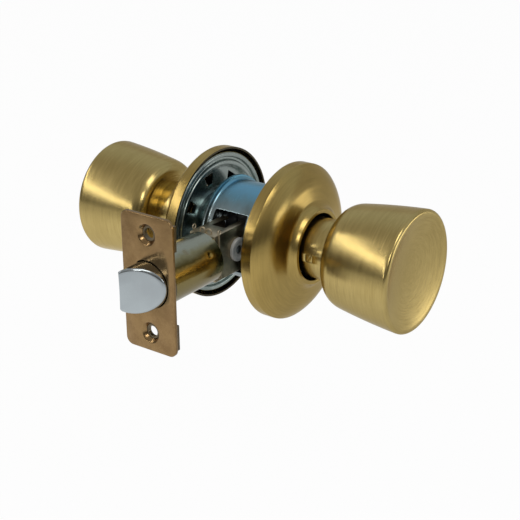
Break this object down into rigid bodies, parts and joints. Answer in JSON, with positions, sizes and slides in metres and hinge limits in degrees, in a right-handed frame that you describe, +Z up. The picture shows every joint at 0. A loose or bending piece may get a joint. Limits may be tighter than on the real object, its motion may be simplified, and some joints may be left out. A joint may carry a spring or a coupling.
{
  "type": "passage knob latch set",
  "caption": "Cylindrical passage lock with tulip knobs and domed roses on a chassis, and a spring latch with a bevelled bolt in a tube behind a flat faceplate.",
  "frame": {"origin": "where the knob axis crosses the latch axis, in the middle of the door's thickness", "axes": "+X along the knob axis to the right-hand knob, -Y along the latch to the bolt, +Z up"},
  "size_m": [0.1588, 0.1146, 0.0666],
  "materials": {
    "satin_brass": "satin, brushed round the knob axis",
    "bronze_plate": "half polished",
    "bright_zinc": "blue-white zinc plate",
    "yellow_zinc": "yellow zinc plate",
    "polished_bolt": "polished plate",
    "plain_steel": "plain plated steel",
    "spring_steel": "plain",
    "nylon": "natural nylon"
  },
  "bodies": {
    "lock_body": {"right_rose": "satin_brass", "left_rose": "satin_brass", "right_mounting_plate": "bright_zinc", "left_rose_liner": "bright_zinc", "mounting_screws": "plain_steel", "right_end_cap": "bright_zinc", "left_end_cap": "bright_zinc", "chassis_housing": "bright_zinc", "retractor_springs": "spring_steel", "guide_rods": "plain_steel", "spring_seat": "plain_steel", "faceplate": "bronze_plate", "back_plate": "yellow_zinc", "latch_tube": "yellow_zinc", "latch_frame": "yellow_zinc", "spring_washer": "yellow_zinc", "bolt_spring": "spring_steel", "guide_pin": "plain_steel", "nylon_bushes": "nylon"},
    "right_knob": {"right_knob_shell": "satin_brass", "right_knob_shank": "satin_brass", "right_spindle": "plain_steel", "right_catch_spring": "spring_steel"},
    "left_knob": {"left_knob_shell": "satin_brass", "left_knob_shank": "satin_brass", "left_spindle": "plain_steel", "left_catch_spring": "spring_steel"},
    "right_catch": {"right_knob_catch": "spring_steel"},
    "left_catch": {"left_knob_catch": "spring_steel"},
    "retractor": {"retractor": "plain_steel"},
    "bolt": {"latch_bolt": "polished_bolt", "bolt_stem": "plain_steel"}
  },
  "joints": [
    {"name": "right_knob_turn", "type": "hinge", "parent": "lock_body", "child": "right_knob", "pos_m": [0, 0, 0], "axis": [-1, 0, 0], "range_deg": [0, 60], "stiffness_Nm_per_rad": 0.15, "springref_deg": -22.92},
    {"name": "left_knob_turn", "type": "hinge", "parent": "lock_body", "child": "left_knob", "pos_m": [0, 0, 0], "axis": [-1, 0, 0], "range_deg": [0, 60]},
    {"name": "retractor_slide", "type": "slide", "parent": "lock_body", "child": "retractor", "axis": [0, 1, 0], "range_m": [0, 0.0115], "deforming": ["retractor_springs"]},
    {"name": "bolt_push", "type": "slide", "parent": "retractor", "child": "bolt", "axis": [0, 1, 0], "range_m": [0, 0.0115], "stiffness_N_per_m": 300, "springref_m": -0.012, "deforming": ["bolt_spring"]},
    {"name": "right_catch_press", "type": "slide", "parent": "right_knob", "child": "right_catch", "axis": [0, 1, 0], "range_m": [0, 0.0026], "stiffness_N_per_m": 400, "springref_m": -0.003, "deforming": ["right_catch_spring"]},
    {"name": "left_catch_press", "type": "slide", "parent": "left_knob", "child": "left_catch", "axis": [0, 1, 0], "range_m": [0, 0.0026], "stiffness_N_per_m": 400, "springref_m": -0.003, "deforming": ["left_catch_spring"]}
  ],
  "couplings": [
    {"joint": "left_knob_turn", "follows": "right_knob_turn", "ratio": 1},
    {"joint": "retractor_slide", "follows": "right_knob_turn", "m_per_rad": 0.01098}
  ]
}
